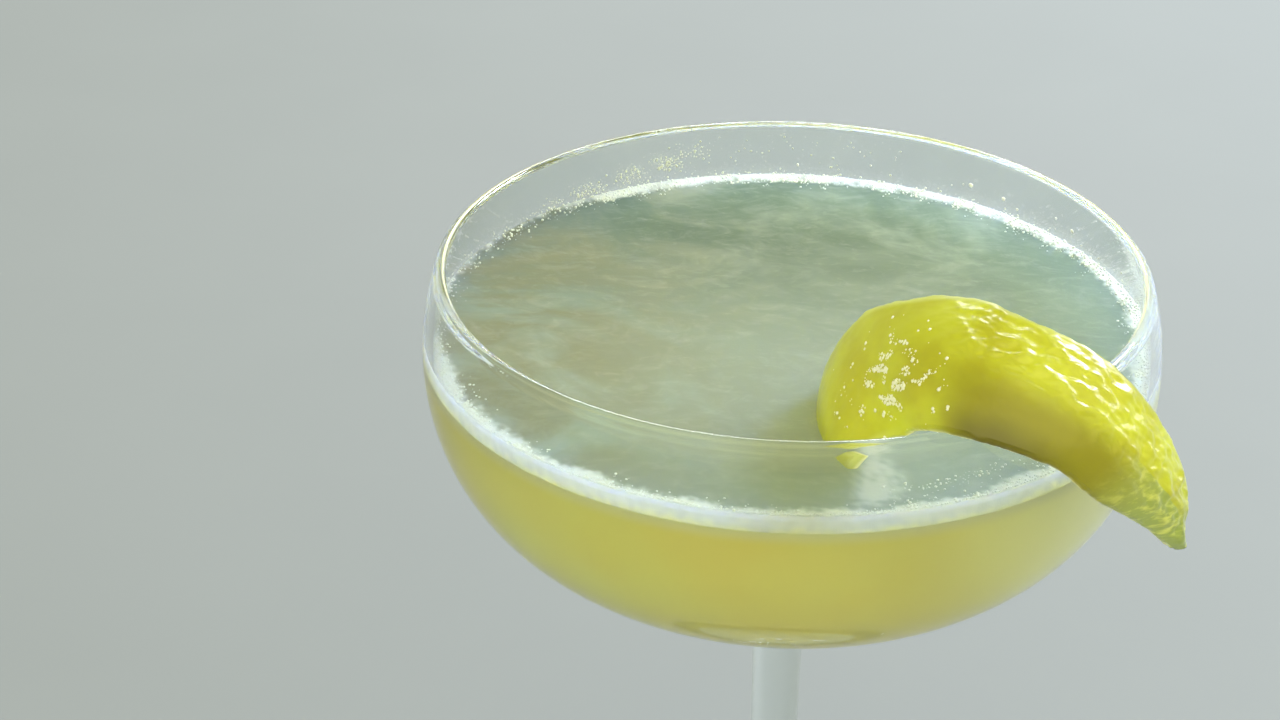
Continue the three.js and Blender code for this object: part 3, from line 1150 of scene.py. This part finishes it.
@dataclass
class Froth:
    """Bubbles where foam meets glass and peel, and flecks and drops that cling to the wall. A line of
    bubbles also floats at the front, line_inset from the glass."""

    form: BowlForm
    foam: FoamCap
    ring_bubbles: Scatter = field(default_factory=lambda: Scatter(
        "ring_bubbles", 1.9e7, 0.21 * MM, 0.05 * MM, 0.8, 3, 2.6))
    wall_flecks: Scatter = field(default_factory=lambda: Scatter(
        "wall_flecks", 9.0e6, 0.20 * MM, 0.04 * MM, 0.45, 8, 3.0))
    wall_drops: Scatter = field(default_factory=lambda: Scatter(
        "wall_drops", 1.5e5, 0.55 * MM, 0.12 * MM, 0.45, 21, 3.0))
    peel_beads: Scatter = field(default_factory=lambda: Scatter(
        "peel_beads", 4.2e7, 0.30 * MM, 0.06 * MM, 0.45, 15, 2.6))
    ring_slope: tuple = ((6.5, 0.0), (5.5, 0.0), (5.0, 0.0), (4.5, 0.0), (3.6, 0.0), (1.9, 0.02), (1.2, 0.08),
                         (0.6, 0.30), (0.15, 0.75))
    line_inset: float = 5.0 * MM
    line_width: float = 0.5 * MM
    band: tuple[float, float] = (-0.8 * MM, 1.5 * MM)
    band_steps: int = 10
    segments: int = 360

    def ring_ground(self) -> Piece:
        """The narrow slope of froth along the glass, as a surface for its bubbles.

        Returns:
            The surface, with its cover.
        """
        edge = self.form.inside(self.foam.depth)
        base = self.form.height - self.foam.depth
        slope = [(edge - inset * MM, base + height * MM) for inset, height in self.ring_slope]
        points, faces = turned_grid(slope, self.segments)
        piece = mesh_object("ring_ground", points, faces)
        radius, angle = np.hypot(points[:, 0], points[:, 1]), angles(points)
        inward = rise(radius + 1.3 * MM * wobble(points, 1.1, 9.0), edge - 1.9 * MM, edge - 0.5 * MM)
        clumps = np.clip(0.75 + 0.9 * wobble(points, 5.0, 3.0), 0, 1.4)
        line = 0.22 * np.exp(-((radius - edge + self.line_inset) / self.line_width) ** 2)
        line *= rise(angle, -76, -68) * (1 - rise(angle, -54, -44))
        scarce = 1 - 0.8 * FoamCap.bare_left(points)
        set_numbers(piece, "cover", inward * clumps * scarce + line)
        return piece

    def wall_ground(self, cover: Callable) -> Piece:
        """The inner wall from just under the foam to near the rim, as a surface for what clings there.

        Args:
            cover: Function of angle, share of the height and points that gives the share of the density.

        Returns:
            The surface, with its cover.
        """
        low, high = self.foam.depth + self.band[0], self.band[1]
        depths = [low + (high - low) * i / self.band_steps for i in range(self.band_steps + 1)]
        outline = [(self.form.inside(d, 0.02 * MM), self.form.height - d) for d in depths]
        points, faces = turned_grid(outline, self.segments)
        piece = mesh_object("wall_ground", points, faces)
        share = (points[:, 2] - points[:, 2].min()) / np.ptp(points[:, 2])
        set_numbers(piece, "cover", cover(angles(points), share, points))
        return piece

    @staticmethod
    def fleck_cover(angle: Array, share: Array, points: Array) -> Array:
        """A smear of flecks that climbs the back left of the wall, a few dots beyond it, a low fringe.

        Args:
            angle: Direction of each point.
            share: Its share of the wall's height.
            points: Its place.

        Returns:
            The share of the density at each point.
        """
        line = 0.37 - 0.0157 * (angle - 115.5)
        smear = np.exp(-((share - line) / 0.14) ** 2) * rise(angle, 104, 113) * (1 - rise(angle, 139, 150))
        dots = 0.12 * rise(angle, 60, 100) * (1 - rise(angle, 112, 120)) * (share < 0.9)
        fringe = np.exp(-share / 0.06) * 0.6 * (np.sin(np.radians(angle)) > 0.1)
        return (2.6 * smear + dots + fringe) * np.clip(0.5 + 1.8 * wobble(points, 1.6, 5.0), 0, 1.5)

    @staticmethod
    def drop_cover(angle: Array, share: Array, points: Array) -> Array:
        """Drops at the back and right of the wall, more of them low down. Takes what fleck_cover takes."""
        back = np.clip(1.2 - np.abs(angle - 60) / 60, 0, 1)
        return back * (1.15 - share) * np.clip(0.4 + 2.0 * wobble(points, 6.0, 1.0), 0, 1.5)

    def build(self, peel: Piece) -> None:
        """Makes the bubbles, flecks and drops.

        Args:
            peel: The peel, whose number called cover says where foam and drops cling to it.
        """
        # The bubbles on the peel are whiter than the others: partly foam, partly painted glints.
        film, wet = BubbleFilm().material(), BubbleFilm("foam bubbles on the peel", "F2F4EC").material()
        drops = BubbleFilm("foam drops on the glass", "E7E7E7").material()
        ground = bpy.data.objects.new("peel_ground", peel.data.copy())
        bpy.context.scene.collection.objects.link(ground)
        self.peel_beads.over(ground, wet)
        self.ring_bubbles.over(self.ring_ground(), film)
        self.wall_flecks.over(self.wall_ground(self.fleck_cover), film)
        self.wall_drops.over(self.wall_ground(self.drop_cover), drops)


@dataclass(frozen=True)
class SoftLamp:
    """One square soft lamp that faces the glass."""

    name: str
    place: tuple[float, float, float]
    size: float
    power: float
    colour: str

    def hang(self, aim: Vector) -> None:
        """Hangs the lamp.

        Args:
            aim: The point that it faces.
        """
        data = bpy.data.lights.new(self.name, "AREA")
        data.shape, data.size, data.energy = "SQUARE", self.size, self.power
        data.color = linear(self.colour)[:3]
        lamp = bpy.data.objects.new(self.name, data)
        lamp.location = self.place
        lamp.rotation_euler = (aim - Vector(self.place)).to_track_quat("-Z", "Y").to_euler()
        bpy.context.scene.collection.objects.link(lamp)


@dataclass
class Studio:
    """A plain pale floor, soft light and the camera at the photograph's angle.

    The key lamp stands behind at the right, as in the photograph, and its direction is two angles. A
    bright zone of the surrounding light fills the front, without the hard mirror image of a lamp.
    """

    rim_height: float
    floor_size: float = 6.0
    floor_colours: tuple[str, str] = ("8E9398", "8A8F94")
    floor_patch_mm: float = 60.0
    camera_back: float = 294.304 * MM
    camera_up: float = 147.256 * MM
    yaw: float = -3.74
    pitch: float = 28.81
    roll: float = 0.57
    focal_mm: float = 73.125
    sensor_mm: float = 36.0
    aim: tuple[float, float] = (20 * MM, -20 * MM)
    key_turn: float = 42.0
    key_rise: float = 34.0
    key_distance: float = 1.5
    sky_colours: tuple[str, str] = ("A8A89C", "7C7B6E")
    zone_light: tuple[float, float, float, float] = (2.20, 2.12, 1.20, 1.0)
    zone_way: tuple[float, float, float] = (-0.08, -0.99, 0.10)
    bounces: int = 24

    def floor(self) -> None:
        """Lays the floor, a matt board with a faint unevenness."""
        half = self.floor_size / 2
        corners = np.array([(-half, -half, 0), (half, -half, 0), (half, half, 0), (-half, half, 0)])
        piece = mesh_object("floor", corners, [(0, 1, 2, 3)], rounded=False)
        values = {"Roughness": 0.6, "Specular IOR Level": 0.25}
        material, tree, shader = new_finish("matt painted board", values)
        pale, dark = self.floor_colours
        shade = layered(tree, pale, (dark, grain(tree, self.floor_patch_mm, 4.0)))
        tree.links.new(shade, shader.inputs["Base Color"])
        piece.data.materials.append(material)

    def lamps(self) -> None:
        """Hangs the three lamps."""
        turn, lift = math.radians(self.key_turn), math.radians(self.key_rise)
        out = self.key_distance * math.cos(lift)
        key = (out * math.cos(turn), out * math.sin(turn), self.rim_height + self.key_distance * math.sin(lift))
        for lamp in (SoftLamp("key_behind_right", key, 0.42, 30.0, "ECF3FF"),
                     SoftLamp("window_behind", (-0.05, 1.25, 1.0), 0.34, 5.5, "F4F7FF"),
                     SoftLamp("lamp_right", (1.32, 0.42, 0.58), 0.30, 5.0, "F4F7FF")):
            lamp.hang(Vector((*self.aim, self.rim_height)))

    def surrounding(self) -> None:
        """Sets the light of the room: paler below, with a bright zone in front that starts softly."""
        world = bpy.data.worlds.new("soft room light")
        world.use_nodes = True
        tree = world.node_tree
        tree.nodes.clear()
        way = add(tree, "ShaderNodeTexCoord").outputs["Generated"]
        facing = add(tree, "ShaderNodeVectorMath", {0: way, 1: self.zone_way}, operation="DOT_PRODUCT")
        height = add(tree, "ShaderNodeSeparateXYZ", {"Vector": way}).outputs["Z"]
        low, high = self.sky_colours
        zone = joined(tree, ((facing.outputs["Value"], -0.2, 1.0), (height, -0.15, 0.28)))
        colour = layered(tree, low, (high, joined(tree, ((height, 0.0, 0.8),))), (self.zone_light, zone))
        surround = add(tree, "ShaderNodeBackground", {"Color": colour})
        add(tree, "ShaderNodeOutputWorld", {"Surface": surround.outputs["Background"]})
        bpy.context.scene.world = world

    def light_paths(self) -> None:
        """Lets light bounce on inside the thin glass, whose edges would turn black where it stopped."""
        paths = bpy.context.scene.cycles
        paths.max_bounces = paths.glossy_bounces = paths.transmission_bounces = self.bounces

    def camera(self) -> None:
        """Places the camera, looking down at the glass from the front."""
        data = bpy.data.cameras.new("camera")
        data.lens, data.sensor_width, data.sensor_fit = self.focal_mm, self.sensor_mm, "HORIZONTAL"
        data.clip_start = 0.01
        eye = bpy.data.objects.new("camera", data)
        eye.location = (0.0, -self.camera_back, self.rim_height + self.camera_up)
        turn = Euler((math.radians(90 - self.pitch), 0.0, math.radians(-self.yaw))).to_matrix()
        eye.rotation_euler = (turn @ Euler((0, 0, math.radians(self.roll))).to_matrix()).to_euler()
        bpy.context.scene.collection.objects.link(eye)
        bpy.context.scene.camera = eye

    def build(self) -> None:
        """Sets the stage and how the picture's brightness is shown."""
        self.camera()
        self.floor()
        self.lamps()
        self.surrounding()
        self.light_paths()
        bpy.context.scene.view_settings.view_transform = "Standard"
        bpy.context.scene.view_settings.exposure = 0.0


def main() -> None:
    """Builds the stage and each piece of the cocktail."""
    logging.basicConfig(level=logging.INFO, format="%(name)s: %(message)s")
    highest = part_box("coupe_glass")[1]
    form = BowlForm(height=highest.z, widest=highest.x)
    Studio(rim_height=form.height).build()
    CoupeGlass(form).build()
    peel = LemonPeel(form)
    plug = peel.plug()
    foam = FoamCap(form)
    Drink(form).build(plug)
    foam.build(plug)
    bpy.data.objects.remove(plug)
    Froth(form, foam).build(peel.build())


if __name__ == "__main__":
    main()
